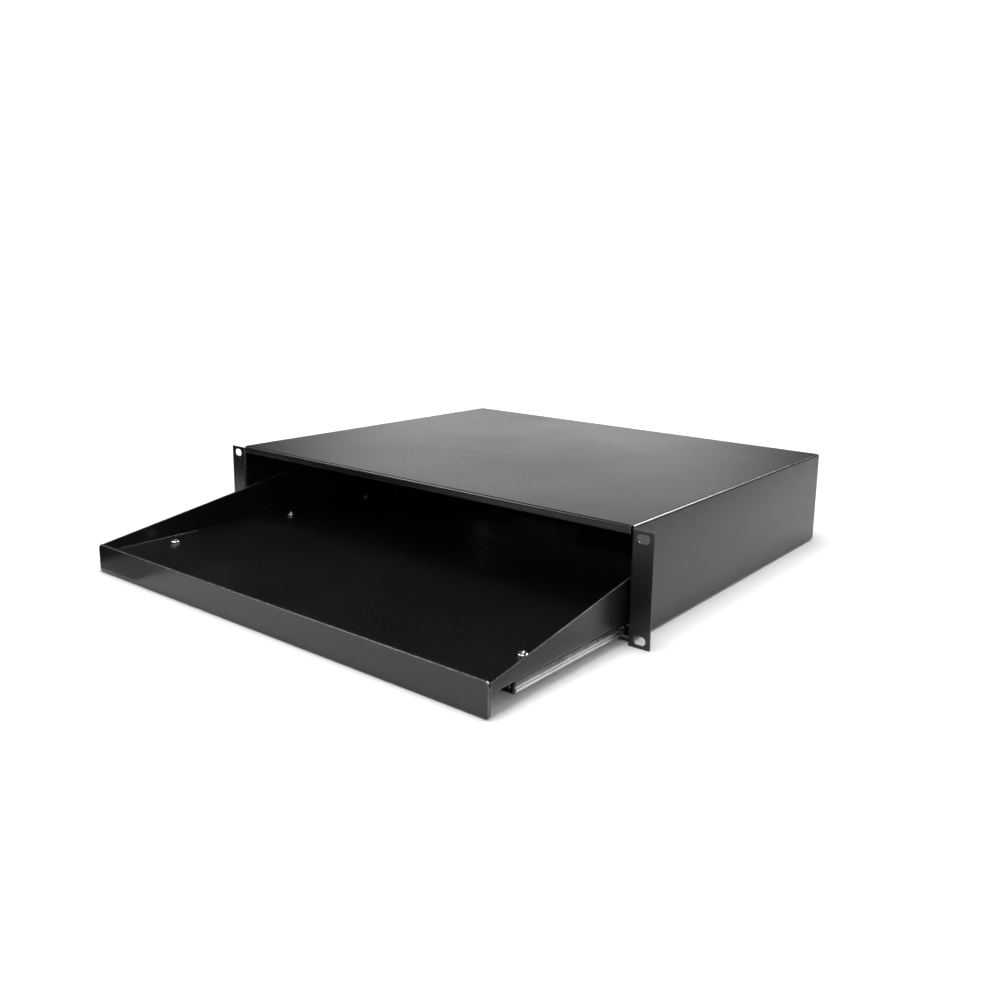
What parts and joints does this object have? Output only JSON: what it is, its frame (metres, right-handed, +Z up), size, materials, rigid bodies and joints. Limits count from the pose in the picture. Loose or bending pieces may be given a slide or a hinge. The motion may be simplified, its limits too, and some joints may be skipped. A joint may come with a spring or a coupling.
{
  "type": "sliding rack drawer",
  "caption": "Two-unit 19-inch rack case with slotted ears and a sliding tray with raked side walls on flat-mounted ball-bearing slides.",
  "frame": {"origin": "middle of the rack ears' four-slot pattern, on the ears' rear face, which rests on the rack posts", "axes": "+X to the right seen from the front, +Y to the back of the case, +Z up"},
  "size_m": [0.4826, 0.5155, 0.0902],
  "materials": {
    "black_powder_coat": "satin fine-texture powder coat",
    "zinc_steel": "bright zinc plating",
    "screw_steel": "bright zinc plating",
    "buffer_rubber": "matt",
    "trim_plastic": "matt",
    "cage_steel": "plain",
    "ball_steel": "polished"
  },
  "bodies": {
    "case": {"case_cover": "black_powder_coat", "base_plate": "black_powder_coat", "rear_panel": "black_powder_coat", "fixed_rail_left": "zinc_steel", "rail_screws_left": "screw_steel", "rail_buffer_left": "buffer_rubber", "fixed_rail_right": "zinc_steel", "rail_screws_right": "screw_steel", "rail_buffer_right": "buffer_rubber"},
    "middle_right": {"middle_rail_right": "zinc_steel", "middle_trim_right": "trim_plastic"},
    "middle_left": {"middle_rail_left": "zinc_steel", "middle_trim_left": "trim_plastic"},
    "tray": {"tray_pan": "black_powder_coat", "front_fascia": "black_powder_coat", "drawer_rail_left": "zinc_steel", "tray_screws_left": "screw_steel", "drawer_rail_right": "zinc_steel", "tray_screws_right": "screw_steel"},
    "outer_retainer_left": {"outer_cage_left": "cage_steel", "outer_balls_left": "ball_steel"},
    "outer_retainer_right": {"outer_cage_right": "cage_steel", "outer_balls_right": "ball_steel"},
    "inner_retainer_left": {"inner_cage_left": "cage_steel", "inner_balls_left": "ball_steel"},
    "inner_retainer_right": {"inner_cage_right": "cage_steel", "inner_balls_right": "ball_steel"}
  },
  "joints": [
    {"name": "right_first_stage", "type": "slide", "parent": "case", "child": "middle_right", "axis": [0, -1, 0], "range_m": [-0.1315, 0.0435]},
    {"name": "left_first_stage", "type": "slide", "parent": "case", "child": "middle_left", "axis": [0, -1, 0], "range_m": [-0.1315, 0.0435]},
    {"name": "tray_second_stage", "type": "slide", "parent": "middle_right", "child": "tray", "axis": [0, -1, 0], "range_m": [-0.0225, 0.1525]},
    {"name": "outer_retainer_left_roll", "type": "slide", "parent": "case", "child": "outer_retainer_left", "axis": [0, -1, 0], "range_m": [-0.06575, 0.02175]},
    {"name": "outer_retainer_right_roll", "type": "slide", "parent": "case", "child": "outer_retainer_right", "axis": [0, -1, 0], "range_m": [-0.06575, 0.02175]},
    {"name": "inner_retainer_left_roll", "type": "slide", "parent": "middle_left", "child": "inner_retainer_left", "axis": [0, -1, 0], "range_m": [-0.01125, 0.07625]},
    {"name": "inner_retainer_right_roll", "type": "slide", "parent": "middle_right", "child": "inner_retainer_right", "axis": [0, -1, 0], "range_m": [-0.01125, 0.07625]}
  ],
  "couplings": [
    {"joint": "left_first_stage", "follows": "right_first_stage", "ratio": 1},
    {"joint": "outer_retainer_left_roll", "follows": "right_first_stage", "ratio": 0.5},
    {"joint": "outer_retainer_right_roll", "follows": "right_first_stage", "ratio": 0.5},
    {"joint": "inner_retainer_left_roll", "follows": "tray_second_stage", "ratio": 0.5},
    {"joint": "inner_retainer_right_roll", "follows": "tray_second_stage", "ratio": 0.5}
  ]
}
